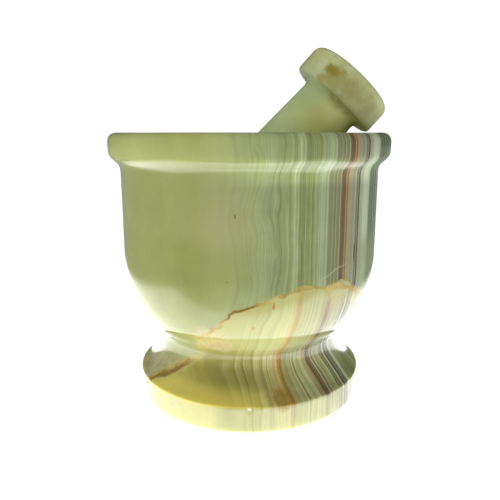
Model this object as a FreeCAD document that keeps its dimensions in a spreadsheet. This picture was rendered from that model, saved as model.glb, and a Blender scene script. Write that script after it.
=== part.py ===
import FreeCAD, Part
import math
import os
import Sketcher
from FreeCAD import Placement, Rotation, Vector

# Footed stone mortar with a rolled rim, and the knobbed pestle that leans in it.
# Both pieces are turned from banded onyx, so each one is a section swept round its own axis.
# The mortar stands on z = 0 with its axis on z. The pestle is drawn upright on its grinding end,
# then tipped over towards +x until it bears on the mortar.

SIZES = [
    # mortar, outside
    ("mortar_height", 95.5, "foot to rim"),
    ("rim_diameter", 100.0, "outside of the rolled rim"),
    ("rim_depth", 13.0, "rim top to where the cove meets the wall"),
    ("rim_overhang", 3.9, "how far the rim stands out from the wall"),
    ("rim_top_round", 3.0, "outer top edge of the rim"),
    ("rim_under_round", 4.0, "outer lower edge of the rim"),
    ("rim_under_slope", 40.0, "underside of the rim, degrees from level"),
    ("cove_round", 4.0, "hollow between the rim and the wall"),
    ("belly_top", 51.7, "height where the straight wall starts to curve in"),
    ("neck_height", 22.0, "height of the narrowest ring"),
    ("neck_diameter", 66.0, "narrowest ring"),
    ("neck_round", 4.0, "hollow between the belly and the neck"),
    ("foot_flare", 8.8, "how far the foot spreads beyond the neck"),
    ("foot_height", 8.9, "upright edge of the foot"),
    ("foot_top_round", 0.8, "upper edge of the foot"),
    ("foot_base_round", 1.2, "lower edge of the foot"),
    # mortar, inside
    ("wall_thickness", 9.1, "straight wall above the belly"),
    ("bowl_depth", 67.5, "rim top to the lowest point of the bowl"),
    ("mouth_round", 3.0, "inner top edge of the rim"),
    # pestle
    ("pestle_length", 98.0, "end to end"),
    ("ball_diameter", 30.0, "round grinding end"),
    ("grip_diameter", 22.2, "shaft just under the knob, where its taper is narrowest"),
    ("grip_round", 2.5, "hollow between the shaft and the knob"),
    ("knob_diameter", 33.3, "knob at the held end"),
    ("knob_height", 11.5, "knob, end to underside"),
    ("knob_dome_radius", 170.0, "low dome on the knob's end"),
    ("knob_top_round", 3.0, "outer edge of the domed end"),
    ("knob_under_round", 1.3, "edge that bears on the rim"),
    # how the pestle rests in the mortar
    ("rest_angle", 56.7, "where the ball lies round the bowl, degrees from its lowest point"),
    ("seat_gap", 0.2, "clearance where the pestle rests on the mortar"),
]
LENGTH_TOLERANCE = 0.001
ANGLE_TOLERANCE = 0.002


def make_sheet(doc):
    """Puts the driving sizes in a spreadsheet, one aliased cell each, and returns them by name."""
    sheet = doc.addObject("Spreadsheet::Sheet", "sizes")
    for row, (name, value, note) in enumerate(SIZES, start=1):
        sheet.set(f"A{row}", name)
        sheet.set(f"B{row}", str(value))
        sheet.setAlias(f"B{row}", name)
        sheet.set(f"C{row}", note)
    doc.recompute()
    return {name: float(sheet.get(name)) for name, _, _ in SIZES}


class Section:
    """A closed outline in the XZ plane of a body: x is the radius and y the height."""

    START, END, CENTRE = 1, 2, 3
    ORIGIN = (-1, 1)
    VERTICAL_AXIS = -2

    def __init__(self, body, name):
        self.sketch = body.newObject("Sketcher::SketchObject", name)
        plane = next(f for f in body.Origin.OriginFeatures if f.Role == "XZ_Plane")
        self.sketch.AttachmentSupport = [(plane, "")]
        self.sketch.MapMode = "FlatFace"

    def line(self, start, end):
        segment = Part.LineSegment(Vector(*start), Vector(*end))
        return self.sketch.addGeometry(segment, False)

    def arc(self, centre, start, end):
        """An arc drawn counter-clockwise from start to end."""
        radius = math.dist(centre, start)
        first, last = (math.atan2(p[1] - centre[1], p[0] - centre[0]) for p in (start, end))
        if last <= first:
            last += 2 * math.pi
        circle = Part.Circle(Vector(*centre), Vector(0, 0, 1), radius)
        return self.sketch.addGeometry(Part.ArcOfCircle(circle, first, last), False)

    def tie(self, kind, *where):
        """Adds a geometric constraint."""
        self.sketch.addConstraint(Sketcher.Constraint(kind, *where))

    def size(self, kind, name, expression, value, *where):
        """Adds a dimension that follows an expression on the spreadsheet."""
        index = self.sketch.addConstraint(Sketcher.Constraint(kind, *where, value))
        self.sketch.renameConstraint(index, name)
        self.sketch.setExpression(f"Constraints.{name}", expression)

    def height(self, name, expression, value, geometry, point):
        """Sets how far a point is above the origin."""
        self.size("DistanceY", name, expression, value, *self.ORIGIN, geometry, point)

    def radius(self, name, expression, value, geometry, point):
        """Sets how far a point is from the axis."""
        self.size("DistanceX", name, expression, value, *self.ORIGIN, geometry, point)


def turn(body, section, name, cut=False):
    """Sweeps a section once round the body's axis, adding stone or cutting it away."""
    kind = "PartDesign::Groove" if cut else "PartDesign::Revolution"
    feature = body.newObject(kind, name)
    feature.Profile = section.sketch
    feature.ReferenceAxis = (section.sketch, ["V_Axis"])
    feature.Angle = 360
    body.Tip = feature
    body.Document.recompute()
    return feature


def ring_edge(shape, radius, height):
    """Name of the circular edge with that radius at that height."""
    for number, edge in enumerate(shape.Edges, start=1):
        if edge.Degenerated or not isinstance(edge.Curve, Part.Circle):
            continue
        off_size = abs(edge.Curve.Radius - radius)
        off_height = abs(edge.Curve.Center.z - height)
        if max(off_size, off_height) < LENGTH_TOLERANCE:
            return f"Edge{number}"
    raise ValueError(f"no ring of radius {radius:.2f} at height {height:.2f}")


def round_edge(body, base, name, size, radius, height):
    """Rounds the ring edge at that radius and height by a named size of the spreadsheet."""
    feature = body.newObject("PartDesign::Fillet", name)
    feature.Base = (base, [ring_edge(base.Shape, radius, height)])
    feature.setExpression("Radius", f"sizes.{size}")
    body.Tip = feature
    body.Document.recompute()
    return feature


def between(start, end, distance):
    """The point at a distance from start on the way to end."""
    share = distance / math.dist(start, end)
    return tuple(a + share * (b - a) for a, b in zip(start, end))


def mortar_outline(s):
    """Points and centres of the mortar's outer section, as (radius, height)."""
    rim = s["rim_diameter"] / 2
    wall = rim - s["rim_overhang"]
    neck = s["neck_diameter"] / 2
    foot = neck + s["foot_flare"]
    slope = math.radians(s["rim_under_slope"])

    # The flare leaves the neck upright and runs tangent into the foot's eased upper edge.
    ease = s["foot_top_round"]
    drop = s["neck_height"] - s["foot_height"]
    reach = s["foot_flare"] - ease
    flare_radius = (reach**2 + drop**2 - ease**2) / (2 * s["foot_flare"])
    flare_centre = (neck + flare_radius, s["neck_height"])
    ease_centre = (foot - ease, s["foot_height"])
    ease_end = between(ease_centre, flare_centre, ease)
    # The belly leaves the wall upright and runs tangent into the hollow over the neck.
    inset = neck + s["neck_round"] - wall
    rise = s["belly_top"] - s["neck_height"]
    belly_radius = (inset**2 + rise**2 - s["neck_round"] ** 2) / (2 * (s["neck_round"] - inset))
    belly_centre = (wall - belly_radius, s["belly_top"])
    neck_centre = (neck + s["neck_round"], s["neck_height"])
    belly_end = between(belly_centre, neck_centre, belly_radius)

    # The cove and the rim's lower edge both turn into one short slope.
    cove_centre = (wall + s["cove_round"], s["mortar_height"] - s["rim_depth"])
    cove_end = (
        cove_centre[0] - s["cove_round"] * math.sin(slope),
        cove_centre[1] + s["cove_round"] * math.cos(slope),
    )
    slope_end_x = rim - s["rim_under_round"] * (1 - math.sin(slope))
    slope_end = (slope_end_x, cove_end[1] + (slope_end_x - cove_end[0]) * math.tan(slope))
    under_centre = (
        rim - s["rim_under_round"],
        slope_end[1] + s["rim_under_round"] * math.cos(slope),
    )
    return {
        "rim": rim,
        "wall": wall,
        "neck": neck,
        "foot": foot,
        "ease_centre": ease_centre,
        "ease_end": ease_end,
        "flare_centre": flare_centre,
        "neck_centre": neck_centre,
        "belly_centre": belly_centre,
        "belly_end": belly_end,
        "cove_centre": cove_centre,
        "cove_end": cove_end,
        "slope_end": slope_end,
        "under_centre": under_centre,
    }


def draw_mortar_blank(body, s, o):
    """Outer section of the mortar: foot, flare, neck, belly, wall, cove and rolled rim."""
    section = Section(body, "mortar_section")
    start, end, centre = Section.START, Section.END, Section.CENTRE
    foot_top = (o["foot"], s["foot_height"])
    neck_ring = (o["neck"], s["neck_height"])
    wall_foot = (o["wall"], s["belly_top"])
    wall_top = (o["wall"], o["cove_centre"][1])
    rim_low = (o["rim"], o["under_centre"][1])
    rim_top = (o["rim"], s["mortar_height"])

    base = section.line((0, 0), (o["foot"], 0))
    edge = section.line((o["foot"], 0), foot_top)
    ease = section.arc(o["ease_centre"], foot_top, o["ease_end"])
    flare = section.arc(o["flare_centre"], neck_ring, o["ease_end"])
    neck = section.arc(o["neck_centre"], o["belly_end"], neck_ring)
    belly = section.arc(o["belly_centre"], o["belly_end"], wall_foot)
    wall = section.line(wall_foot, wall_top)
    cove = section.arc(o["cove_centre"], o["cove_end"], wall_top)
    slope = section.line(o["cove_end"], o["slope_end"])
    under = section.arc(o["under_centre"], o["slope_end"], rim_low)
    side = section.line(rim_low, rim_top)
    top = section.line(rim_top, (0, s["mortar_height"]))
    axis = section.line((0, s["mortar_height"]), (0, 0))

    section.tie("Coincident", base, start, *Section.ORIGIN)
    section.tie("Coincident", base, end, edge, start)
    section.tie("Tangent", edge, end, ease, start)
    section.tie("Tangent", ease, end, flare, end)
    section.tie("Tangent", flare, start, neck, end)
    section.tie("Tangent", neck, start, belly, start)
    section.tie("Tangent", belly, end, wall, start)
    section.tie("Tangent", wall, end, cove, end)
    section.tie("Tangent", cove, start, slope, start)
    section.tie("Tangent", slope, end, under, start)
    section.tie("Tangent", under, end, side, start)
    section.tie("Coincident", side, end, top, start)
    section.tie("Coincident", top, end, axis, start)
    section.tie("Coincident", axis, end, base, start)
    for level in (base, top):
        section.tie("Horizontal", level)
    for upright in (edge, wall, side, axis):
        section.tie("Vertical", upright)
    # The neck's narrowest ring is where both of its hollows run upright.
    section.tie("Horizontal", neck, end, neck, centre)

    section.height("mortar_height", "sizes.mortar_height", s["mortar_height"], side, end)
    section.radius("rim_radius", "sizes.rim_diameter / 2", o["rim"], side, end)
    section.radius(
        "wall_radius", "sizes.rim_diameter / 2 - sizes.rim_overhang", o["wall"], wall, start
    )
    section.height("belly_top", "sizes.belly_top", s["belly_top"], wall, start)
    section.height(
        "wall_top", "sizes.mortar_height - sizes.rim_depth", wall_top[1], cove, centre
    )
    section.size("Radius", "cove_round", "sizes.cove_round", s["cove_round"], cove)
    section.size("Radius", "rim_under_round", "sizes.rim_under_round", s["rim_under_round"], under)
    section.size(
        "Angle",
        "rim_under_slope",
        "sizes.rim_under_slope * 1 deg",
        math.radians(s["rim_under_slope"]),
        slope,
    )
    section.height("neck_height", "sizes.neck_height", s["neck_height"], neck, end)
    section.radius("neck_radius", "sizes.neck_diameter / 2", o["neck"], neck, end)
    section.size("Radius", "neck_round", "sizes.neck_round", s["neck_round"], neck)
    section.size("Radius", "foot_top_round", "sizes.foot_top_round", s["foot_top_round"], ease)
    section.height("foot_height", "sizes.foot_height", s["foot_height"], edge, end)
    section.radius(
        "foot_radius", "sizes.neck_diameter / 2 + sizes.foot_flare", o["foot"], edge, end
    )
    return section


def draw_bowl(body, s, bowl_radius):
    """Inner section of the mortar: a round bottom that runs up into a straight wall."""
    section = Section(body, "bowl_section")
    start, end, centre = Section.START, Section.END, Section.CENTRE
    floor = s["mortar_height"] - s["bowl_depth"]
    spring = floor + bowl_radius
    mouth = s["mortar_height"]

    bottom = section.arc((0, spring), (0, floor), (bowl_radius, spring))
    wall = section.line((bowl_radius, spring), (bowl_radius, mouth))
    lid = section.line((bowl_radius, mouth), (0, mouth))
    axis = section.line((0, mouth), (0, floor))

    section.tie("Tangent", bottom, end, wall, start)
    section.tie("Coincident", wall, end, lid, start)
    section.tie("Coincident", lid, end, axis, start)
    section.tie("Coincident", axis, end, bottom, start)
    section.tie("PointOnObject", bottom, centre, Section.VERTICAL_AXIS)
    section.tie("PointOnObject", bottom, start, Section.VERTICAL_AXIS)
    section.tie("PointOnObject", axis, start, Section.VERTICAL_AXIS)
    section.tie("Vertical", wall)
    section.tie("Horizontal", lid)
    section.radius(
        "bowl_radius",
        "sizes.rim_diameter / 2 - sizes.rim_overhang - sizes.wall_thickness",
        bowl_radius,
        wall,
        start,
    )
    section.height("mouth_height", "sizes.mortar_height", mouth, wall, end)
    section.height("floor_height", "sizes.mortar_height - sizes.bowl_depth", floor, bottom, start)
    return section


def make_mortar(doc, s):
    """The mortar, turned as a blank, hollowed out and then eased along its square edges."""
    body = doc.addObject("PartDesign::Body", "mortar")
    outline = mortar_outline(s)
    bowl_radius = outline["wall"] - s["wall_thickness"]
    blank = turn(body, draw_mortar_blank(body, s, outline), "turned_blank")
    hollow = turn(body, draw_bowl(body, s, bowl_radius), "bowl", cut=True)
    if hollow.Shape.Volume >= blank.Shape.Volume:
        raise ValueError("the bowl was not cut out of the blank")
    edges = [
        ("mouth_edge", "mouth_round", bowl_radius, s["mortar_height"]),
        ("rim_edge", "rim_top_round", outline["rim"], s["mortar_height"]),
        ("foot_edge", "foot_base_round", outline["foot"], 0),
    ]
    base = hollow
    for name, size, radius, height in edges:
        base = round_edge(body, base, name, size, radius, height)
    return body


def draw_pestle(body, s):
    """Section of the pestle: ball end, straight taper and a knob with a low dome."""
    section = Section(body, "pestle_section")
    start, end, centre = Section.START, Section.END, Section.CENTRE
    ball = s["ball_diameter"] / 2
    grip = s["grip_diameter"] / 2
    knob = s["knob_diameter"] / 2
    top = s["pestle_length"]
    underside = top - s["knob_height"]

    # The taper runs tangent to the ball and up to the grip.
    towards_grip = math.atan2(grip, underside - ball)
    to_taper = towards_grip + math.acos(ball / math.hypot(grip, underside - ball))
    taper_start = (ball * math.sin(to_taper), ball + ball * math.cos(to_taper))
    # The knob's edge is tangent to its upright side and to the dome.
    dome = s["knob_dome_radius"]
    ease = s["knob_top_round"]
    dome_centre = (0, top - dome)
    ease_centre = (knob - ease, top - dome + math.sqrt((dome - ease) ** 2 - (knob - ease) ** 2))
    dome_start = between(dome_centre, ease_centre, dome)

    tip = section.arc((0, ball), (0, 0), taper_start)
    taper = section.line(taper_start, (grip, underside))
    under = section.line((grip, underside), (knob, underside))
    side = section.line((knob, underside), (knob, ease_centre[1]))
    edge = section.arc(ease_centre, (knob, ease_centre[1]), dome_start)
    crown = section.arc(dome_centre, dome_start, (0, top))
    axis = section.line((0, top), (0, 0))

    section.tie("Coincident", tip, start, *Section.ORIGIN)
    section.tie("Tangent", tip, end, taper, start)
    section.tie("Coincident", taper, end, under, start)
    section.tie("Coincident", under, end, side, start)
    section.tie("Tangent", side, end, edge, start)
    section.tie("Tangent", edge, end, crown, start)
    section.tie("Coincident", crown, end, axis, start)
    section.tie("Coincident", axis, end, tip, start)
    section.tie("PointOnObject", tip, centre, Section.VERTICAL_AXIS)
    section.tie("PointOnObject", crown, centre, Section.VERTICAL_AXIS)
    section.tie("Horizontal", under)
    section.tie("Vertical", side)
    section.tie("Vertical", axis)
    section.size("Radius", "ball_radius", "sizes.ball_diameter / 2", ball, tip)
    section.radius("grip_radius", "sizes.grip_diameter / 2", grip, taper, end)
    section.radius("knob_radius", "sizes.knob_diameter / 2", knob, under, end)
    section.height("length", "sizes.pestle_length", top, axis, start)
    section.height("underside", "sizes.pestle_length - sizes.knob_height", underside, under, end)
    section.size("Radius", "knob_top_round", "sizes.knob_top_round", ease, edge)
    section.size("Radius", "knob_dome_radius", "sizes.knob_dome_radius", dome, crown)
    return section


def make_pestle(doc, s):
    """The pestle, upright on its grinding end, eased where the knob meets shaft and rim."""
    body = doc.addObject("PartDesign::Body", "pestle")
    base = turn(body, draw_pestle(body, s), "turned_pestle")
    knob = s["knob_diameter"] / 2
    underside = s["pestle_length"] - s["knob_height"]
    edges = [
        ("grip_hollow", "grip_round", s["grip_diameter"] / 2, underside),
        ("bearing_edge", "knob_under_round", knob, underside),
    ]
    for name, size, radius, height in edges:
        base = round_edge(body, base, name, size, radius, height)
    return body


def seat_pestle(pestle, mortar, s):
    """Lays the pestle's ball in the bowl, then tips it to +x until it bears on the mortar.

    The pestle turns about the centre of its ball, so the ball keeps its clearance from the bowl
    while the lean grows. It stops where its knob or its shaft comes as near as the ball is.
    """
    ball = s["ball_diameter"] / 2
    bowl = s["rim_diameter"] / 2 - s["rim_overhang"] - s["wall_thickness"]
    bowl_centre = Vector(0, 0, s["mortar_height"] - s["bowl_depth"] + bowl)
    downhill = Rotation(Vector(0, 1, 0), s["rest_angle"]).multVec(Vector(0, 0, -1))
    ball_centre = bowl_centre + downhill * (bowl - ball - s["seat_gap"])

    def leaning(degrees):
        rotation = Rotation(Vector(0, 1, 0), degrees)
        return Placement(ball_centre - rotation.multVec(Vector(0, 0, ball)), rotation)

    upright = pestle.Shape.copy()
    nearest = s["seat_gap"] - LENGTH_TOLERANCE
    clear, blocked = 0.0, 90.0
    while blocked - clear > ANGLE_TOLERANCE:
        tried = (clear + blocked) / 2
        upright.Placement = leaning(tried)
        if upright.distToShape(mortar.Shape)[0] < nearest:
            blocked = tried
        else:
            clear = tried
    pestle.Placement = leaning(clear)
    print(f"pestle: leans {clear:.2f} degrees from upright")


def check_and_write(doc, bodies):
    """Stops if anything failed to build, then writes one file for each piece."""
    doc.recompute()
    for thing in doc.Objects:
        if {"Invalid", "Error"} & set(thing.State):
            raise ValueError(f"{thing.Name} did not build: {thing.State}")
    os.makedirs("parts", exist_ok=True)
    for body in bodies:
        shape = body.Shape
        if shape.isNull() or not shape.isValid() or len(shape.Solids) != 1:
            raise ValueError(f"{body.Label} is not one valid solid")
        shape.exportStep(f"parts/{body.Label}.step")
        box = shape.optimalBoundingBox(False, False)
        print(
            f"{body.Label}: {shape.Volume / 1000:.1f} cm3,"
            f" x {box.XMin:.2f} to {box.XMax:.2f}, z {box.ZMin:.2f} to {box.ZMax:.2f}"
        )


doc = FreeCAD.newDocument("mortar_and_pestle")
sizes = make_sheet(doc)
mortar = make_mortar(doc, sizes)
pestle = make_pestle(doc, sizes)
seat_pestle(pestle, mortar, sizes)
check_and_write(doc, [mortar, pestle])
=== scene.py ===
import math

import bpy
from mathutils import Matrix, Vector, noise


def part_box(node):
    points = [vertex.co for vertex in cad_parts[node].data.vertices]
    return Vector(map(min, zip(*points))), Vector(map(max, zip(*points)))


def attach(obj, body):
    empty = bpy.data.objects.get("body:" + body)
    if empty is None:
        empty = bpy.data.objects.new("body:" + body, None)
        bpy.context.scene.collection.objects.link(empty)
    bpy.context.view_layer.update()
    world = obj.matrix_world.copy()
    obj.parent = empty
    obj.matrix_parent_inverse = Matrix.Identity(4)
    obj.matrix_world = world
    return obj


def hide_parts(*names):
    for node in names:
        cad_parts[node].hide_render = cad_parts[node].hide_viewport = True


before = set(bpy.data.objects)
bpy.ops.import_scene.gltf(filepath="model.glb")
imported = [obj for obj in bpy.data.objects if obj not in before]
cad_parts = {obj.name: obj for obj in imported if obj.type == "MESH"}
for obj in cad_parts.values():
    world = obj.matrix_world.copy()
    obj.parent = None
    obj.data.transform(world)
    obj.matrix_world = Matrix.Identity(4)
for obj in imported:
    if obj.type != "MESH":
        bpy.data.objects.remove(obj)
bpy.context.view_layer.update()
scene = bpy.context.scene
scene.view_settings.view_transform = "Standard"
mm = 0.001


class Outline:
    # One side of a turned section, as (radius, height) points in millimetres.
    leastArcSteps = 4
    straightSteps = 2  # a straight run takes steps this many times as long as an arc's

    def __init__(self, radius, height, step):
        self.points = [(radius, height)]
        self.step = step

    def lineTo(self, radius, height):
        lastRadius, lastHeight = self.points[-1]
        length = math.hypot(radius - lastRadius, height - lastHeight)
        count = max(1, round(length / (self.straightSteps * self.step)))
        for i in range(1, count + 1):
            share = i / count
            self.points.append((lastRadius + share * (radius - lastRadius),
                                lastHeight + share * (height - lastHeight)))

    def arc(self, centre, radius, start, end):
        # Angles are in degrees, from straight outward towards straight up.
        length = abs(math.radians(end - start)) * radius
        count = max(self.leastArcSteps, round(length / self.step))
        for i in range(1, count + 1):
            angle = math.radians(start + (end - start) * i / count)
            self.points.append((centre[0] + radius * math.cos(angle),
                                centre[1] + radius * math.sin(angle)))


def directionOf(start, end):
    return math.degrees(math.atan2(end[1] - start[1], end[0] - start[0]))


def turnedMesh(name, outline, around):
    # Sweeps an outline that starts and ends on the axis, in quads with a fan at each pole.
    bottom, *rings, top = outline.points
    vertices = [(0.0, 0.0, bottom[1] * mm), (0.0, 0.0, top[1] * mm)]
    firstRing = len(vertices)
    lastRing = firstRing + (len(rings) - 1) * around
    for radius, height in rings:
        for i in range(around):
            angle = 2 * math.pi * i / around
            vertices.append((radius * mm * math.cos(angle), radius * mm * math.sin(angle), height * mm))
    faces = []
    for i in range(around):
        after = (i + 1) % around
        faces.append((0, firstRing + after, firstRing + i))
        faces.append((1, lastRing + i, lastRing + after))
        for low in range(firstRing, lastRing, around):
            high = low + around
            faces.append((low + i, low + after, high + after, high + i))
    mesh = bpy.data.meshes.new(name)
    mesh.from_pydata(vertices, [], faces)
    mesh.validate()
    mesh.shade_smooth()
    piece = bpy.data.objects.new(name, mesh)
    scene.collection.objects.link(piece)
    return piece


# hand polishing leaves turned stone a little uneven, but the face it stands on is lapped flat
handWork = {
    "depth": 0.09,
    "patchSize": 17.0,
    "flatHeight": 0.5,
}


def wear(piece, chips):
    # Polishing and chips only take stone away. A chip is its centre, size and depth in millimetres.
    points = piece.data.vertices
    normals = [point.normal.copy() for point in points]
    for point, normal in zip(points, normals):
        place = point.co / mm
        uneven = 0.5 + 0.5 * noise.noise(place / handWork["patchSize"])
        offBase = min(1, max(0, place.z - handWork["flatHeight"]))
        depth = handWork["depth"] * uneven * offBase
        for centre, size, deep in chips:
            away = (place - Vector(centre)).length / size
            depth += deep * max(0, 1 - away ** 2)
        point.co -= normal * depth * mm


mortarMake = {
    "around": 384,
    "outlineStep": 0.8,
    "rimRadius": 50.0,
    "rimTopRound": 3.0,
    "rimUnderRound": 4.0,
    "underSlope": 40.0,
    "coveRound": 4.0,
    "coveHeight": 82.5,
    "wallRadius": 46.1,
    "bellyTop": 51.7,
    "neckRadius": 33.0,
    "neckHeight": 22.0,
    "neckRound": 4.0,
    "footRadius": 41.8,
    "footHeight": 8.9,
    "footTopRound": 0.8,
    "footBaseRound": 1.2,
    "bowlRadius": 37.0,
    "bowlFloor": 28.0,
    "mouthRound": 3.0,
    "chips": [((0.2, -41.9, 8.9), 1.9, 0.6), ((-36.5, -20.5, 8.4), 1.4, 0.3)],
}


def mortarOutline(size, top):
    rim, wall, neck, foot = (size[k] for k in ("rimRadius", "wallRadius", "neckRadius", "footRadius"))
    neckCentre = (neck + size["neckRound"], size["neckHeight"])

    # foot, with its edges eased, and the flare that rises from it to the neck
    line = Outline(0, 0, size["outlineStep"])
    line.lineTo(foot - size["footBaseRound"], 0)
    line.arc((foot - size["footBaseRound"], size["footBaseRound"]), size["footBaseRound"], -90, 0)
    line.lineTo(foot, size["footHeight"])
    ease = size["footTopRound"]
    drop = size["neckHeight"] - size["footHeight"]
    reach = foot - neck
    flare = ((reach - ease) ** 2 + drop ** 2 - ease ** 2) / (2 * reach)
    easeCentre = (foot - ease, size["footHeight"])
    flareCentre = (neck + flare, size["neckHeight"])
    turn = directionOf(easeCentre, flareCentre)
    line.arc(easeCentre, ease, 0, turn)
    line.arc(flareCentre, flare, turn + 180, 180)

    # neck, belly and wall
    inset = neckCentre[0] - wall
    rise = size["bellyTop"] - size["neckHeight"]
    belly = (inset ** 2 + rise ** 2 - size["neckRound"] ** 2) / (2 * (size["neckRound"] - inset))
    bellyCentre = (wall - belly, size["bellyTop"])
    turn = directionOf(bellyCentre, neckCentre)
    line.arc(neckCentre, size["neckRound"], 180, turn + 180)
    line.arc(bellyCentre, belly, turn, 0)
    line.lineTo(wall, size["coveHeight"])

    # cove, underside of the rim and its rolled edge
    slope = size["underSlope"]
    coveCentre = (wall + size["coveRound"], size["coveHeight"])
    line.arc(coveCentre, size["coveRound"], 180, 90 + slope)
    under = size["rimUnderRound"]
    radius, height = line.points[-1]
    outward = rim - under * (1 - math.sin(math.radians(slope))) - radius
    height += outward * math.tan(math.radians(slope))
    line.lineTo(radius + outward, height)
    underCentre = (rim - under, height + under * math.cos(math.radians(slope)))
    line.arc(underCentre, under, slope - 90, 0)
    line.lineTo(rim, top - size["rimTopRound"])
    line.arc((rim - size["rimTopRound"], top - size["rimTopRound"]), size["rimTopRound"], 0, 90)

    # over the rim and down into the bowl
    bowl, mouth = size["bowlRadius"], size["mouthRound"]
    line.lineTo(bowl + mouth, top)
    line.arc((bowl + mouth, top - mouth), mouth, 90, 180)
    line.lineTo(bowl, size["bowlFloor"] + bowl)
    line.arc((0, size["bowlFloor"] + bowl), bowl, 0, -90)
    line.points[-1] = (0, size["bowlFloor"])
    return line


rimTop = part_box("mortar")[1].z / mm
mortar = turnedMesh("mortarStone", mortarOutline(mortarMake, rimTop), mortarMake["around"])
wear(mortar, mortarMake["chips"])
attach(mortar, "mortar")
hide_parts("mortar")
print("mortar turned:", len(mortar.data.vertices), "points")


pestleMake = {
    "around": 192,
    "outlineStep": 0.6,
    "length": 98.0,
    "ballRadius": 15.0,
    "gripRadius": 11.1,
    "gripRound": 2.5,
    "knobRadius": 16.65,
    "knobHeight": 11.5,
    "knobDomeRadius": 170.0,
    "knobTopRound": 3.0,
    "knobUnderRound": 1.3,
    "chips": [((43.3, -5.0, 109.8), 2.4, 0.7), ((44.5, -10.5, 104.0), 1.5, 0.25)],
}


def pestleOutline(size):
    ball, grip, knob, top = (size[k] for k in ("ballRadius", "gripRadius", "knobRadius", "length"))
    underside = top - size["knobHeight"]

    # ball end, and the taper that leaves it tangent
    line = Outline(0, 0, size["outlineStep"])
    reach = math.hypot(grip, underside - ball)
    turn = 90 - math.degrees(math.atan2(grip, underside - ball) + math.acos(ball / reach))
    line.arc((0, ball), ball, -90, turn)

    # the hollow under the knob is tangent to the taper and to the knob's underside
    hollow = size["gripRound"]
    slope = math.radians(turn)
    ballEdge = ball + ball * math.sin(slope)
    hollowHeight = underside - hollow
    taperRadius = ball * math.cos(slope) - (hollowHeight - ballEdge) * math.tan(slope)
    hollowCentre = (taperRadius + hollow / math.cos(slope), hollowHeight)
    line.lineTo(hollowCentre[0] - hollow * math.cos(slope), hollowHeight - hollow * math.sin(slope))
    line.arc(hollowCentre, hollow, 180 + turn, 90)

    # knob
    under = size["knobUnderRound"]
    line.lineTo(knob - under, underside)
    line.arc((knob - under, underside + under), under, -90, 0)
    dome, ease = size["knobDomeRadius"], size["knobTopRound"]
    easeHeight = top - dome + math.sqrt((dome - ease) ** 2 - (knob - ease) ** 2)
    line.lineTo(knob, easeHeight)
    turn = directionOf((0, top - dome), (knob - ease, easeHeight))
    line.arc((knob - ease, easeHeight), ease, 0, turn)
    line.arc((0, top - dome), dome, turn, 90)
    line.points[-1] = (0, top)
    return line


def leanOf(outline, ballCentre, ballRadius, highest):
    # The lean that brings the knob's upper edge just up to the highest point of the CAD piece.
    low, high, closeEnough = 0.0, math.pi / 2, 1e-6
    while high - low > closeEnough:
        lean = (low + high) / 2
        reached = max(
            ballCentre[1] + (height - ballRadius) * math.cos(lean) + radius * math.sin(lean)
            for radius, height in outline.points
        )
        low, high = (lean, high) if reached > highest else (low, lean)
    return low


pestleLine = pestleOutline(pestleMake)
pestle = turnedMesh("pestleStone", pestleLine, pestleMake["around"])
pestleLow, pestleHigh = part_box("pestle")
ball = pestleMake["ballRadius"]
ballCentre = (pestleLow.x / mm + ball, pestleLow.z / mm + ball)
lean = leanOf(pestleLine, ballCentre, ball, pestleHigh.z / mm)
seat = Matrix.Translation((ballCentre[0] * mm, 0, ballCentre[1] * mm))
seat = seat @ Matrix.Rotation(lean, 4, "Y") @ Matrix.Translation((0, 0, -ball * mm))
pestle.data.transform(seat)
wear(pestle, pestleMake["chips"])
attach(pestle, "pestle")
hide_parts("pestle")
print("pestle turned:", len(pestle.data.vertices), "points, leaning", round(math.degrees(lean), 2))


def channel(value):
    value = value / 255
    return value / 12.92 if value < 0.04045 else ((value + 0.055) / 1.055) ** 2.4


def tone(red, green, blue):
    # A colour as it is read off a swatch card, made ready for a shader.
    return (channel(red), channel(green), channel(blue), 1.0)


# where a Mix node keeps its colour sockets
mixFactor, mixFirst, mixSecond, mixResult = 0, 6, 7, 2


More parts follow.
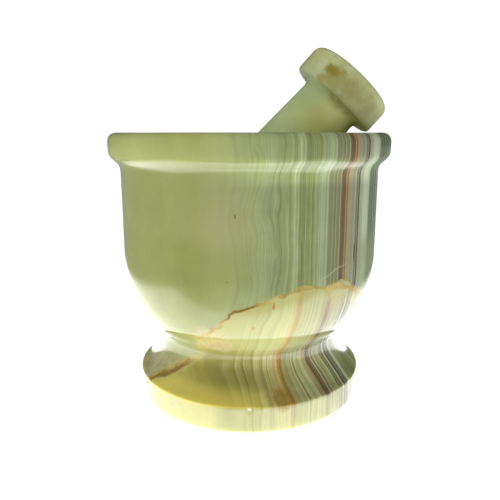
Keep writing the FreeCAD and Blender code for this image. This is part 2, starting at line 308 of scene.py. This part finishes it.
class Signal:
    # A socket that can stand in a sum: every sum adds its own Math node.
    def __init__(self, tree, socket=None):
        self.tree = tree
        self.socket = socket

    def node(self, kind, settings=None, values=None, output=0):
        made = self.tree.nodes.new(kind)
        for name, value in (settings or {}).items():
            if name == "stops":
                fillRamp(made.color_ramp, value)
            else:
                setattr(made, name, value)
        for name, value in (values or {}).items():
            if isinstance(value, Signal):
                self.tree.links.new(value.socket, made.inputs[name])
            else:
                made.inputs[name].default_value = value
        return Signal(self.tree, made.outputs[output])

    def sum(self, operation, *values):
        return self.node("ShaderNodeMath", {"operation": operation}, dict(enumerate(values)))

    def __add__(self, other):
        return self.sum("ADD", self, other)

    def __sub__(self, other):
        return self.sum("SUBTRACT", self, other)

    def __rsub__(self, other):
        return self.sum("SUBTRACT", other, self)

    def __mul__(self, other):
        return self.sum("MULTIPLY", self, other)

    def __truediv__(self, other):
        return self.sum("DIVIDE", self, other)

    def __rtruediv__(self, other):
        return self.sum("DIVIDE", other, self)

    def __pow__(self, other):
        return self.sum("POWER", self, other)

    def __rpow__(self, other):
        return self.sum("POWER", other, self)

    def __abs__(self):
        return self.sum("ABSOLUTE", self)

    __radd__ = __add__
    __rmul__ = __mul__

    def atMost(self, most):
        return self.sum("MINIMUM", self, most)

    def rise(self, low, high):
        # 0 up to low and 1 from high on, or the other way round where low is above high.
        if low > high:
            return 1 - self.rise(high, low)
        settings = {"interpolation_type": "SMOOTHSTEP"}
        return self.node("ShaderNodeMapRange", settings, {"Value": self, "From Min": low, "From Max": high})

    def choose(self, first, second):
        # This signal mixes from the first colour to the second.
        colours = {mixFactor: self, mixFirst: first, mixSecond: second}
        return self.node("ShaderNodeMix", {"data_type": "RGBA"}, colours, mixResult)

    def scaled(self, value):
        return self.node("ShaderNodeVectorMath", {"operation": "SCALE"}, {"Vector": self, "Scale": value})

    def parts(self):
        split = self.node("ShaderNodeSeparateXYZ", None, {0: self}).socket.node
        return [Signal(self.tree, socket) for socket in split.outputs]

    def cloud(self, strength, size, detail, roughness, shift):
        # Cloudy noise about zero, with blotches of the size given in millimetres.
        moved = self.node("ShaderNodeVectorMath", {"operation": "ADD"}, {0: self, 1: (shift, shift, shift)})
        values = {"Vector": moved, "Scale": 1 / size, "Detail": detail, "Roughness": roughness}
        return (self.node("ShaderNodeTexNoise", None, values) - 0.5) * strength

    def lines(self, strength, spacing, detail, roughness, shift):
        # The same along one measure only, which draws parallel lines across it.
        values = {"W": self + shift, "Scale": 1 / spacing, "Detail": detail, "Roughness": roughness}
        return (self.node("ShaderNodeTexNoise", {"noise_dimensions": "1D"}, values) - 0.5) * strength

    def spot(self, centre, size, tall=1.0):
        # 1 at the centre, fading to 0 at the size given, which is stretched upward by tall.
        squeeze = {0: self, 1: (1.0, 1.0, 1 / tall)}
        flat = self.node("ShaderNodeVectorMath", {"operation": "MULTIPLY"}, squeeze)
        ends = {0: flat, 1: (centre[0], centre[1], centre[2] / tall)}
        return self.node("ShaderNodeVectorMath", {"operation": "DISTANCE"}, ends, "Value").rise(size, 0)


def fillRamp(ramp, stops):
    while len(ramp.elements) < len(stops):
        ramp.elements.new(1.0)
    for element, (position, colour) in zip(ramp.elements, stops):
        element.position = position
        element.color = colour


def bandColours(across, span, bands):
    # The colours of the sheets, given at places on a measure that runs from -span to span.
    stops = [((place + span) / (2 * span), tone(*colour)) for place, colour in bands]
    share = (across + span) / (2 * span)
    return share.node("ShaderNodeValToRGB", {"stops": stops}, {"Fac": share})


def inside(measure, edges):
    # 1 within edges that each fade between two values of a measure, and 0 beyond them.
    share = 1
    for edge in edges:
        share = share * measure.rise(*edge)
    return share


def tinted(colour, height, across, tints):
    for heights, places, share, shade in tints:
        where = inside(height, heights) * inside(across, places) * share
        colour = where.choose(colour, tone(*shade))
    return colour


# painted light and shade: scales the colour up or down in the given places to stand in for light
def paintedLightAndShade(colour, height, across, paintedLights):
    gain = 1
    for heights, places, share in paintedLights:
        gain = gain + inside(height, heights) * inside(across, places) * share
    return colour.scaled(gain)


def fineLines(colour, across, strong, block, onFlare=0):
    # Hair lines along the sheets: a ripple in brightness, then pale and dark threads.
    least, most = block["rippleFrom"]
    colour = colour.scaled(1 + across.lines(*block["ripple"]) * (least + strong * most))
    for thread, edge, share, flareShare, shade in block["threads"]:
        drawn = across.lines(*thread).rise(*edge) * strong * (share + onFlare * flareShare)
        colour = drawn.choose(colour, tone(*shade))
    return colour


# how light goes into the stone and through it
polish = {
    "ior": 1.53,
    "throughLight": 0.6,
    "throughColour": (1.0, 0.95, 0.6),
}


def startStone(name):
    # A new material, with its shader and the place on the stone in millimetres.
    material = bpy.data.materials.new(name)
    material.use_nodes = True
    start = Signal(material.node_tree)
    place = start.node("ShaderNodeTexCoord", None, None, "Object")
    return material, material.node_tree.nodes["Principled BSDF"], place.scaled(1 / mm)


def finishStone(shader, colour, roughness, depth):
    # The depth is how far light goes into the stone, in millimetres.
    links = shader.id_data.links
    links.new(colour.socket, shader.inputs["Base Color"])
    links.new(roughness.socket, shader.inputs["Roughness"])
    shader.inputs["IOR"].default_value = polish["ior"]
    shader.inputs["Subsurface Weight"].default_value = polish["throughLight"]
    shader.inputs["Subsurface Radius"].default_value = polish["throughColour"]
    shader.inputs["Subsurface Scale"].default_value = depth * mm


# the mortar's stone above the healed break. A band is (place across the sheets, colour). Clouds and
# lines are (strength, size, detail, roughness, shift). A thread is (lines, the edge they fade over,
# share, share added on the flare, colour). A tint is (heights it fades between, places across the
# sheets it fades between, share, colour), and a painted light is the same without a colour: painted
# light or shade that scales the stone's colour up or down.
upperMake = {
    "bands": [
        (-50, (158, 165, 104)), (-34, (161, 168, 105)), (-27, (165, 173, 117)), (-20, (160, 170, 118)),
        (-15, (156, 166, 118)), (-10.8, (140, 151, 100)), (-8.5, (154, 165, 116)), (-5, (136, 146, 93)),
        (-3.2, (132, 143, 88)), (-2.7, (158, 168, 110)), (-2.1, (108, 122, 64)), (-1.4, (154, 164, 118)),
        (2.2, (156, 168, 130)), (4, (128, 135, 96)), (8.2, (128, 128, 90)), (8.9, (104, 88, 58)),
        (11.0, (126, 92, 60)), (11.8, (166, 150, 108)), (13, (148, 148, 118)), (14.8, (142, 146, 124)),
        (16.2, (126, 122, 100)), (16.8, (78, 54, 38)), (17.3, (82, 60, 44)), (17.7, (184, 190, 160)),
        (18.3, (136, 142, 112)), (19.2, (180, 190, 164)), (22.6, (176, 186, 158)), (24.2, (98, 114, 80)),
        (28, (70, 88, 54)), (33, (102, 118, 78)), (38, (150, 160, 118)), (46, (136, 148, 104)),
    ],
    "linesFrom": (-30, -10),
    "ripple": (1.0, 1.1, 5.0, 0.75, 0),
    "rippleFrom": (0.12, 1.1),
    "threads": [
        ((1.0, 1.3, 4.0, 0.7, 17), (0.03, 0.16), 0.6, 0, (182, 192, 158)),
        ((1.0, 2.1, 4.0, 0.7, 57), (0.06, 0.2), 0.5, 0, (104, 118, 68)),
    ],
    "wavyPlaces": [(-34, -14), (6, -2)],
    "waveWander": (4.0, 13, 2.0, 0.5, 61),
    "waves": (0.9, 3.0, 3.0, 0.6, 31),
    "mottle": (1.0, 5, 4.0, 0.65, 71),
    "mottleFrom": (0.12, 0.2),
    "tints": [
        ([(68, 60), (46, 54)], [(-14, -26)], 0.35, (140, 146, 72)),
        ([(68, 56)], [(17.8, 19)], 0.6, (134, 144, 98)),
    ],
    "moss": {
        "lines": (1.0, 6, 2.0, 0.5, 13),
        "cloud": (1.0, 14, 2.0, 0.5, 83),
        "edge": (-0.1, 0.25),
        "places": (-12, -24),
        "share": 0.35,
        "colour": (146, 154, 84),
    },
    "swirl": {
        "cloud": (2.4, 7, 4.0, 0.6, 12),
        "softness": 0.6,
        "colours": ((186, 180, 140), (146, 128, 84)),
        "heights": (21, 15),
        "spot": ((-38, -20, 10), 30),
        "edge": (0, 0.5),
        "share": 0.9,
    },
    "warmSpot": ((-8, -45, 70), 17),
    "warmShare": 0.35,
    "warmColour": (176, 168, 130),
    # painted light: the left of the rim is lifted where backlight shines through its thin edge, and the
    # middle of the cove under the rim carries a painted reflection of the bright floor
    "paintedLights": [([(84, 90)], [(20, -40)], 0.35), ([(79, 83), (89, 86)], [(-12, 8)], 0.4)],
    "cloudy": (0.28, 17, 3.0, 0.5, 5),
}


def upperStone(place, across, make, span):
    x, _, z = place.parts()
    strong = across.rise(*make["linesFrom"])
    colour = fineLines(bandColours(across, span, make["bands"]), across, strong, make)

    # the middle of the wall is wavy and mottled
    wavy = inside(across, make["wavyPlaces"])
    wandering = across + place.cloud(*make["waveWander"])
    colour = colour.scaled(1 + wandering.lines(*make["waves"]) * wavy)
    least, most = make["mottleFrom"]
    colour = colour.scaled(1 + place.cloud(*make["mottle"]) * (least + wavy * most))
    colour = tinted(colour, z, across, make["tints"])

    # mossy streaks on the left
    moss = make["moss"]
    streaks = (across.lines(*moss["lines"]) + place.cloud(*moss["cloud"])).rise(*moss["edge"])
    colour = (streaks * across.rise(*moss["places"]) * moss["share"]).choose(colour, tone(*moss["colour"]))

    # the left of the foot, above the break, is a brown-grey swirl
    swirl = make["swirl"]
    pale, dusk = (tone(*shade) for shade in swirl["colours"])
    swirling = (abs(place.cloud(*swirl["cloud"])) ** swirl["softness"]).choose(pale, dusk)
    where = z.rise(*swirl["heights"]) * place.spot(*swirl["spot"]).rise(*swirl["edge"])
    colour = (where * swirl["share"]).choose(colour, swirling)

    warm = place.spot(*make["warmSpot"]) * make["warmShare"]
    colour = warm.choose(colour, tone(*make["warmColour"]))
    # painted light on the rim and painted reflection in the cove
    colour = paintedLightAndShade(colour, z, x, make["paintedLights"])
    return colour.scaled(1 + place.cloud(*make["cloudy"]))


# the mortar's stone below the break, where the sheets are offset and paler
lowerMake = {
    "bands": [
        (-50, (218, 208, 122)), (-37, (222, 212, 124)), (-31, (206, 196, 106)), (-25, (150, 145, 72)),
        (-15, (168, 163, 94)), (-14.2, (136, 132, 72)), (-13.4, (176, 172, 110)), (-9, (178, 174, 114)),
        (-7.0, (186, 170, 108)), (-5.6, (168, 130, 68)), (-4.6, (164, 142, 80)), (-3.4, (158, 156, 104)),
        (3.0, (162, 164, 116)), (4.0, (146, 128, 86)), (5.4, (102, 80, 48)), (6.4, (112, 90, 58)),
        (7.2, (160, 151, 112)), (9.5, (150, 155, 110)), (11.6, (138, 142, 102)), (12.3, (92, 92, 64)),
        (13.0, (150, 154, 118)), (13.7, (146, 152, 114)), (14.1, (66, 68, 46)), (14.6, (92, 84, 58)),
        (14.9, (140, 142, 112)), (15.3, (74, 72, 48)), (16.2, (148, 152, 122)), (16.7, (78, 80, 54)),
        (17.2, (158, 164, 132)), (19, (120, 128, 84)), (30, (140, 150, 92)), (44, (172, 176, 120)),
    ],
    "footSide": [([(9.2, 7.8)], [], 0.6, (182, 185, 138))],
    # painted shade: the right of the foot's side wall is darkened to hold back the light table's light there
    "footSidePaintedShade": [([(9.2, 7.8)], [(6, 16)], -0.55)],
    "flare": [(9, 10), (25, 17)],
    "flareShift": 6,
    "linesFrom": (-26, -6),
    "linesAbove": (7.5, 9.5),
    "linesBelowShare": 0.6,
    "coarse": (1.0, 2.2, 3.0, 0.6, 23),
    "coarseFrom": (0.7, 0.7),
    "ripple": (1.0, 1.2, 5.0, 0.75, 60),
    "rippleFrom": (0.15, 1.3),
    "threads": [
        ((1.0, 1.3, 4.0, 0.7, 77), (0.03, 0.16), 0.5, 0, (204, 208, 172)),
        ((1.0, 1.5, 4.0, 0.7, 97), (0.05, 0.16), 0.55, 0.4, (98, 98, 58)),
    ],
    "cloudy": (0.5, 12, 4.0, 0.6, 25),
    "flareCloud": (0.5, 4, 3.0, 0.6, 65),
    "footTints": [
        ([(10, 14), (21, 17)], [(2, -10)], 0.5, (124, 118, 58)),
        ([(15, 10), (8.7, 9.3)], [(-6, -20)], 0.75, (214, 202, 100)),
    ],
    # painted shade in the recess of the neck, fading out towards the left
    "neckPaintedShade": [([(20, 24), (35, 30)], [(-10, -2)], -0.15)],
    "bellyTints": [([(22, 30)], [(14, -10)], 0.5, (206, 212, 152))],
    "amberPlace": -5.4,
    "amber": [([(18, 26)], [(1.4, 0.3)], 0.5, (182, 148, 92))],
    "rustSpot": ((10.5, -38.0, 10.4), 8),
    "rustCloud": (1.0, 3, 3.0, 0.6, 33),
    "rustEdge": (0.2, 0.9),
    "rustShare": 0.75,
    "rustColour": (136, 110, 32),
}


def lowerStone(place, across, make, span):
    _, _, z = place.parts()
    colour = bandColours(across, span, make["bands"])
    colour = tinted(colour, z, across, make["footSide"])
    # painted shade on the right of the foot's side wall
    colour = paintedLightAndShade(colour, z, across, make["footSidePaintedShade"])

    # the lines are strongest on the flare between foot and neck
    onFlare = inside(z, make["flare"])
    least = make["linesBelowShare"]
    strong = (across + onFlare * make["flareShift"]).rise(*make["linesFrom"])
    strong = strong * (least + z.rise(*make["linesAbove"]) * (1 - least))
    least, most = make["coarseFrom"]
    colour = colour.scaled(1 + across.lines(*make["coarse"]) * strong * (least + onFlare * most))
    colour = fineLines(colour, across, strong, make, onFlare)

    # cloudiness, then the tints of foot and belly, with painted shade in the neck between them
    colour = colour.scaled(1 + place.cloud(*make["cloudy"]) + place.cloud(*make["flareCloud"]) * onFlare)
    colour = tinted(colour, z, across, make["footTints"])
    # painted shade in the neck's recess
    colour = paintedLightAndShade(colour, z, across, make["neckPaintedShade"])
    colour = tinted(colour, z, across, make["bellyTints"])
    colour = tinted(colour, z, abs(across - make["amberPlace"]), make["amber"])
    rust = place.spot(*make["rustSpot"]) + place.cloud(*make["rustCloud"])
    return (rust.rise(*make["rustEdge"]) * make["rustShare"]).choose(colour, tone(*make["rustColour"]))


# the healed break: a brown vein along it, a bruise and a web of threads where it thins out, and a
# clear patch with a brown rind at its other end
veinMake = {
    "bruiseSpot": ((-11.5, -37, 30), 11),
    "bruiseCloud": (0.8, 4, 3.0, 0.6, 39),
    "bruiseEdge": (0.15, 0.6),
    "bruiseShare": 0.45,
    "bruiseColour": (212, 200, 160),
    "webCloud": (1.0, 3.4, 4.0, 0.7, 44),
    "webWidth": 0.012,
    "webSoftness": 0.04,
    "webSpots": [((-12, -36, 29), 14), ((28, -35, 44), 9)],
    "webEdge": (0.1, 0.7),
    "webShare": 0.6,
    "webColour": (190, 158, 106),
    "patchSpot": ((28.6, -35.4, 47.6), 8.5, 0.5),
    "patchCloud": (0.7, 3, 2.0, 0.5, 81),
    "patchEdge": (0.28, 0.42),
    "patchShare": 0.6,
    "patchColour": (192, 190, 154),
    "rindAt": 0.34,
    "rindWidth": 0.03,
    "rindSoftness": 0.05,
    "rindShare": 0.7,
    "rindColour": (178, 152, 74),
    "width": 0.5,
    "widthCloud": (2.6, 5, 3.0, 0.6, 51),
    "shift": 0.2,
    "edge": (0.5, -0.2),
    "thinSpot": ((-16, -30, 26), 10),
    "thinShare": 0.6,
    "share": 0.85,
    "ochreCloud": (1.0, 5, 3.0, 0.55, 19),
    "ochreEdge": (-0.15, 0.15),
    "ochres": ((166, 138, 58), (196, 178, 104)),
    "haloWidth": 0.9,
    "haloCloud": (4.0, 9, 2.0, 0.5, 71),
    "haloShift": 1.6,
    "haloSoftness": 2.2,
    "haloShare": 0.45,
    "haloColour": (188, 182, 112),
    "heartEdge": (0.6, 0.2),
    "heartSpot": ((-3.0, -44.5, 42.5), 9),
    "heartShare": 1.6,
    "heartColour": (124, 98, 32),
    "streakShift": 1.8,
    "streakEdge": (1.6, 0.4),
    "streakHeights": (22, 15),
    "streakPlaces": (-12, -22),
    "streakShare": 0.8,
    "streakColour": (124, 92, 46),
}


def besideVein(colour, place, make):
    bruise = (place.spot(*make["bruiseSpot"]) + place.cloud(*make["bruiseCloud"])).rise(*make["bruiseEdge"])
    colour = (bruise * make["bruiseShare"]).choose(colour, tone(*make["bruiseColour"]))
    web = (abs(place.cloud(*make["webCloud"])) - make["webWidth"]).rise(make["webSoftness"], 0.0)
    thin, far = (place.spot(*spot) for spot in make["webSpots"])
    web = web * (thin + far).rise(*make["webEdge"])
    colour = (web * make["webShare"]).choose(colour, tone(*make["webColour"]))
    patch = place.spot(*make["patchSpot"]) + place.cloud(*make["patchCloud"])
    clear = patch.rise(*make["patchEdge"]) * make["patchShare"]
    colour = clear.choose(colour, tone(*make["patchColour"]))
    rind = (abs(patch - make["rindAt"]) - make["rindWidth"]).rise(make["rindSoftness"], 0.0)
    return (rind * make["rindShare"]).choose(colour, tone(*make["rindColour"]))


def veinOf(place, fault, make):
    # 1 on the vein, which swells and thins, and almost vanishes at its lower end.
    width = make["width"] + place.cloud(*make["widthCloud"])
    fading = 1 - place.spot(*make["thinSpot"]) * make["thinShare"]
    return (abs(fault + make["shift"]) - width).rise(*make["edge"]) * fading


def alongVein(colour, place, fault, vein, make):
    x, _, z = place.parts()
    wide = make["haloWidth"] + place.cloud(*make["haloCloud"])
    halo = (abs(fault + make["haloShift"]) - wide).rise(make["haloSoftness"], 0.0)
    colour = (halo * make["haloShare"]).choose(colour, tone(*make["haloColour"]))
    dark, light = (tone(*shade) for shade in make["ochres"])
    ochre = place.cloud(*make["ochreCloud"]).rise(*make["ochreEdge"]).choose(dark, light)
    colour = (vein * make["share"]).choose(colour, ochre)
    heart = abs(fault).rise(*make["heartEdge"]) * place.spot(*make["heartSpot"])
    colour = (heart * make["heartShare"]).atMost(1).choose(colour, tone(*make["heartColour"]))
    streak = abs(fault + make["streakShift"]).rise(*make["streakEdge"])
    streak = streak * z.rise(*make["streakHeights"]) * x.rise(*make["streakPlaces"])
    return (streak * make["streakShare"]).choose(colour, tone(*make["streakColour"]))


# the whole block: it grew in flat sheets that stand upright, and later broke along a slant
greenMake = {
    "sheetSlant": 0.5,
    "span": 52.0,
    "calmPlaces": (-14, -4),
    "wander": (7.0, 22, 2.0, 0.5, 0),
    "ripple": (0.5, 9, 2.0, 0.5, 40),
    "breakSlopes": (0.4, -0.8),
    "breakHeight": 8.0,
    "breakEdge": (-0.25, 0.25),
    "jags": [(6.0, 11, 3.0, 0.55, 7), (1.4, 2.6, 2.0, 0.6, 3)],
    "offset": 4.6,
    "offsetHeights": (22, 11),
    "offsetPlaces": (-10, 14),
    "offsetWander": (1.2, 16, 2.0, 0.5, 90),
    # each fleck is its centre, its size, how tall it is and its colour
    "flecks": [
        ((-4.1, -45.9, 71.9), 0.5, 3.0, (118, 96, 54)),
        ((-6.4, -45.6, 52.2), 0.5, 1.0, (96, 98, 64)),
        ((7.4, -44.7, 44.4), 0.9, 3.4, (170, 124, 28)),
        ((1.2, -42.8, 36.5), 0.8, 4.0, (176, 132, 36)),
        ((33.4, -31.8, 58.5), 0.8, 9.0, (64, 34, 22)),
        ((0.0, -41.6, 8.6), 1.6, 0.6, (232, 234, 218)),
    ],
    "fleckCloud": (0.9, 0.9, 2.0, 0.6, 0),
    "fleckEdge": (0.3, 0.8),
    "fleckShare": 0.75,
    "crackSlope": 0.5,
    "crackHeight": 40.5,
    "crackJag": 0.6,
    "crackWidth": 0.4,
    "crackAcross": [(20, 24), (32, 28)],
    "crackBack": (-20, -30),
    "crackShare": 0.35,
    "crackColour": (206, 208, 182),
    "roughness": 0.088,
    "roughCloud": (0.06, 14, 4.0, 0.6, 0),
    "veinRoughness": 0.1,
    "lightDepth": 4.0,
}


def greenOnyx(make, upper, lower, vein):
    material, shader, place = startStone("greenOnyx")
    x, y, z = place.parts()

    # the measure across the sheets, which wander on the left
    slant = make["sheetSlant"]
    across = (x + y * slant) / math.hypot(1, slant)
    wandering = 1 - across.rise(*make["calmPlaces"])
    across = across + wandering * place.cloud(*make["wander"]) + place.cloud(*make["ripple"])

    # the height above the break, and the sheets' measure below it, where they are offset
    coarse, fine = (place.cloud(*jag) for jag in make["jags"])
    jagged = coarse + fine
    slopeX, slopeY = make["breakSlopes"]
    fault = z - x * slopeX - y * slopeY - make["breakHeight"] + jagged
    above = fault.rise(*make["breakEdge"])
    offset = z.rise(*make["offsetHeights"]) * across.rise(*make["offsetPlaces"]) * make["offset"]
    acrossLower = across - offset + place.cloud(*make["offsetWander"])

    colour = above.choose(lowerStone(place, acrossLower, lower, make["span"]),
                          upperStone(place, across, upper, make["span"]))
    onVein = veinOf(place, fault, vein)
    colour = alongVein(besideVein(colour, place, vein), place, fault, onVein, vein)

    for centre, size, tall, shade in make["flecks"]:
        fleck = (place.cloud(*make["fleckCloud"]) + place.spot(centre, size, tall)).rise(*make["fleckEdge"])
        colour = (fleck * make["fleckShare"]).choose(colour, tone(*shade))
    crack = abs(z - x * make["crackSlope"] - make["crackHeight"] + jagged * make["crackJag"])
    crack = crack.rise(make["crackWidth"], 0.0) * inside(x, make["crackAcross"]) * y.rise(*make["crackBack"])
    colour = (crack * above * make["crackShare"]).choose(colour, tone(*make["crackColour"]))
    roughness = make["roughness"] + place.cloud(*make["roughCloud"]) + onVein * make["veinRoughness"]
    finishStone(shader, colour, roughness, make["lightDepth"])
    return material


# the pestle's stone is paler and has no sheets, only clouds, and brown veins on the knob
paleMake = {
    "bodyCloud": (1.0, 14, 3.0, 0.5, 0),
    "bodyEdge": (-0.2, 0.2),
    "bodyColours": ((182, 196, 144), (172, 188, 134)),
    "milkCloud": (1.0, 5, 3.0, 0.6, 9),
    "milkEdge": (0.0, 0.25),
    "milkColour": (188, 198, 158),
    # painted light: the shaft just under the knob is lifted with a paler yellow, standing in for light that
    # comes through the stone into the knob's shade
    "underKnobPaintedLightHeights": (112, 98),
    "underKnobPaintedLightAcross": (8, 26),
    "warmColour": (184, 186, 112),
    "underKnobPaintedLightSpot": ((31.5, -9, 103.5), 11),
    "underKnobPaintedLightColour": (214, 216, 150),
    "knobPlaces": (96, 101),
    "knobShare": 0.8,
    "knobCloud": (1.0, 8, 3.0, 0.6, 4),
    "knobEdge": (-0.15, 0.2),
    "knobColours": ((184, 194, 152), (172, 172, 120)),
    "cloudy": (0.3, 9, 4.0, 0.6, 3),
    # each vein is a spot with its centre, size and colour; they run together
    "veins": [
        ((33.0, -13.0, 109.0), 13.0, (150, 146, 92)),
        ((38.0, -12.5, 104.0), 9.0, (156, 154, 108)),
        ((28.0, -14.5, 112.5), 8.5, (156, 150, 88)),
        ((26.0, -14.5, 116.2), 3.6, (144, 132, 58)),
        ((28.0, -14.6, 115.0), 4.2, (142, 128, 50)),
        ((30.4, -14.4, 114.0), 4.2, (146, 134, 60)),
        ((32.8, -14.0, 112.8), 3.6, (148, 138, 70)),
        ((23.4, -14.5, 113.0), 4.4, (160, 150, 92)),
        ((27.6, -14.5, 110.6), 1.8, (118, 106, 38)),
        ((40.6, -13.0, 107.2), 2.6, (136, 114, 52)),
        ((39.0, -13.0, 106.2), 2.6, (146, 124, 66)),
    ],
    "veinCloud": (0.9, 2.8, 4.0, 0.65, 14),
    "veinEdge": (0.2, 0.95),
    "veinShare": 0.85,
    "roughness": 0.094,
    "roughCloud": (0.08, 10, 4.0, 0.6, 0),
    "lightDepth": 26.0,
}


def paleOnyx(make, lean):
    material, shader, place = startStone("paleOnyx")
    x, _, z = place.parts()
    light, deep = (tone(*shade) for shade in make["bodyColours"])
    colour = place.cloud(*make["bodyCloud"]).rise(*make["bodyEdge"]).choose(light, deep)
    milk = place.cloud(*make["milkCloud"]).rise(*make["milkEdge"])
    colour = milk.choose(colour, tone(*make["milkColour"]))
    # painted light under the knob: a pale yellow region, then a paler spot where the knob meets the shaft
    warm = z.rise(*make["underKnobPaintedLightHeights"]) * x.rise(*make["underKnobPaintedLightAcross"])
    colour = warm.choose(colour, tone(*make["warmColour"]))
    colour = place.spot(*make["underKnobPaintedLightSpot"]).choose(colour, tone(*make["underKnobPaintedLightColour"]))

    # the knob, found by the distance along the leaning axis
    along = x * math.sin(lean) + z * math.cos(lean)
    light, deep = (tone(*shade) for shade in make["knobColours"])
    knob = place.cloud(*make["knobCloud"]).rise(*make["knobEdge"]).choose(light, deep)
    colour = (along.rise(*make["knobPlaces"]) * make["knobShare"]).choose(colour, knob)
    colour = colour.scaled(1 + place.cloud(*make["cloudy"]))
    for centre, size, shade in make["veins"]:
        vein = (place.spot(centre, size) + place.cloud(*make["veinCloud"])).rise(*make["veinEdge"])
        colour = (vein * make["veinShare"]).choose(colour, tone(*shade))
    roughness = make["roughness"] + place.cloud(*make["roughCloud"])
    finishStone(shader, colour, roughness, make["lightDepth"])
    return material


mortar.data.materials.append(greenOnyx(greenMake, upperMake, lowerMake, veinMake))
pestle.data.materials.append(paleOnyx(paleMake, lean))
print("stone banded and polished")


# sizes are in metres and the table's fades in millimetres. Each light is (as the camera sees it, as
# the polish mirrors it, as it falls on the stone).
stageMake = {
    "tableLow": (-0.165, -0.092),
    "tableHigh": (0.145, 0.22),
    "tableHeight": -0.00002,
    "tableLight": (1.1, 2.8, 2.6),
    "tableFade": (60, 32),
    "floorSide": 6.0,
    "floorHeight": -0.001,
    "floorLight": (1.1, 0.3, 0.8),
    "wallLight": (1.1, 0.12, 1.3),
    "ceilingLight": (1.1, 0.08, 0.55),
    "ceilingFrom": (0.0, 0.7),
}


def lightOf(start, levels):
    seen, mirrored, falling = levels
    toCamera = start.node("ShaderNodeLightPath", None, None, "Is Camera Ray")
    toPolish = start.node("ShaderNodeLightPath", None, None, "Is Glossy Ray")
    return falling + toCamera * (seen - falling) + toPolish * (mirrored - falling)


def fadeOut(start, low, high, fade):
    # 1 on the sheet and 0 at its edges: it fades over the first width at the sides and back,
    # and over the second in front, where the diffuser hangs free.
    x, y, _ = start.node("ShaderNodeTexCoord", None, None, "Object").scaled(1 / mm).parts()
    side, front = fade
    across = x.rise(low[0] / mm, low[0] / mm + side) * x.rise(high[0] / mm, high[0] / mm - side)
    return across * y.rise(low[1] / mm, low[1] / mm + front) * y.rise(high[1] / mm, high[1] / mm - side)


def glowingSheet(name, low, high, height, levels, fade=None):
    mesh = bpy.data.meshes.new(name)
    corners = [(low[0], low[1]), (high[0], low[1]), (high[0], high[1]), (low[0], high[1])]
    mesh.from_pydata([(x, y, height) for x, y in corners], [], [(0, 1, 2, 3)])
    sheet = bpy.data.objects.new(name, mesh)
    scene.collection.objects.link(sheet)
    material = bpy.data.materials.new(name)
    material.use_nodes = True
    nodes = material.node_tree.nodes
    nodes.remove(nodes["Principled BSDF"])
    start = Signal(material.node_tree)
    strength = lightOf(start, levels)
    if fade:
        rest = lightOf(start, stageMake["floorLight"])
        strength = rest + fadeOut(start, low, high, fade) * (strength - rest)
    glow = start.node("ShaderNodeEmission", None, {"Strength": strength})
    material.node_tree.links.new(glow.socket, nodes["Material Output"].inputs["Surface"])
    mesh.materials.append(material)


reach = stageMake["floorSide"] / 2
glowingSheet("lightTable", stageMake["tableLow"], stageMake["tableHigh"], stageMake["tableHeight"],
             stageMake["tableLight"], stageMake["tableFade"])
glowingSheet("floor", (-reach, -reach), (reach, reach), stageMake["floorHeight"], stageMake["floorLight"])

world = bpy.data.worlds.new("room")
scene.world = world
world.use_nodes = True
start = Signal(world.node_tree)
_, _, upward = start.node("ShaderNodeTexCoord", None, None, "Generated").parts()
ceiling = lightOf(start, stageMake["ceilingLight"])
walls = lightOf(start, stageMake["wallLight"])
glow = walls + upward.rise(*stageMake["ceilingFrom"]) * (ceiling - walls)
background = world.node_tree.nodes["Background"]
background.inputs["Color"].default_value = (1, 1, 1, 1)
world.node_tree.links.new(glow.socket, background.inputs["Strength"])
print("stage lit")


# a soft lamp in front lifts the shaft out of the knob's shade
lampMake = {
    "place": (-0.05, -0.41, 0.062),
    "aim": (0.018, 0.0, 0.112),
    "power": 2.4,
    "cone": 12.0,
    "size": 0.06,
}

lamp = bpy.data.objects.new("frontLamp", bpy.data.lights.new("frontLamp", "SPOT"))
scene.collection.objects.link(lamp)
lamp.location = lampMake["place"]
lamp.rotation_euler = (Vector(lampMake["aim"]) - lamp.location).to_track_quat("-Z", "Y").to_euler()
lamp.data.energy = lampMake["power"]
lamp.data.spot_size = math.radians(lampMake["cone"])
lamp.data.spot_blend = 1.0
lamp.data.shadow_soft_size = lampMake["size"]
lamp.visible_glossy = False


# distances are in millimetres and the pitch is down from level, at the height of the rim
cameraMake = {
    "lens": 38.2,
    "side": 0.24,
    "distance": 196.6,
    "pitch": 12.5,
    "nearest": 10.0,
}

camera = bpy.data.objects.new("camera", bpy.data.cameras.new("camera"))
scene.collection.objects.link(camera)
camera.data.lens = cameraMake["lens"]
camera.data.clip_start = cameraMake["nearest"] * mm
camera.location = (cameraMake["side"] * mm, -cameraMake["distance"] * mm, rimTop * mm)
camera.rotation_euler = (math.radians(90 - cameraMake["pitch"]), 0, 0)
scene.camera = camera
print("camera set")
